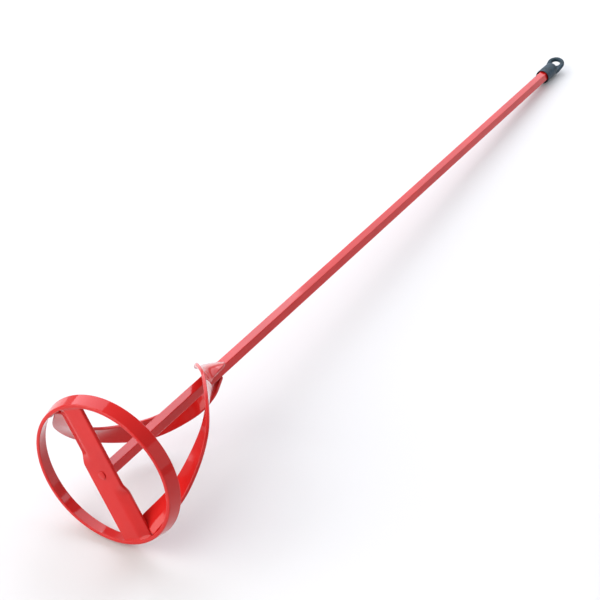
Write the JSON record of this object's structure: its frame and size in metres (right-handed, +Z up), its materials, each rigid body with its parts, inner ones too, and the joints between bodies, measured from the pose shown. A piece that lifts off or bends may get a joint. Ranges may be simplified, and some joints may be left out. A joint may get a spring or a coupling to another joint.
{
  "type": "mortar mixing paddle",
  "caption": "Mortar mixing paddle: hexagonal drive bar, helical blades running down to a bottom ring with a crossbar, and a soft hanging cap on the chuck end.",
  "frame": {"origin": "middle of the bottom of the box of the paddle as it lies on the ring and the cap", "axes": "+Y along the bar towards the cap, +Z up; the bar drops 3.7 degrees towards the cap"},
  "size_m": [0.0884, 0.6182, 0.0882],
  "materials": {
    "red_paint": "gloss enamel on steel",
    "soft_cap": "satin moulded"
  },
  "bodies": {
    "paddle": {"drive_bar": "red_paint", "bottom_ring": "red_paint", "crossbar": "red_paint", "blade_a": "red_paint", "blade_b": "red_paint", "hub_weld_a": "red_paint", "hub_weld_b": "red_paint", "seat_weld_a": "red_paint", "seat_weld_b": "red_paint", "crossbar_weld_a": "red_paint", "crossbar_weld_b": "red_paint", "foot_weld": "red_paint"},
    "cap": {"hang_cap": "soft_cap"}
  },
  "joints": [
    {"name": "cap_slide", "type": "slide", "parent": "paddle", "child": "cap", "axis": [0, 0.9979, -0.065], "range_m": [0, 0.03]}
  ]
}
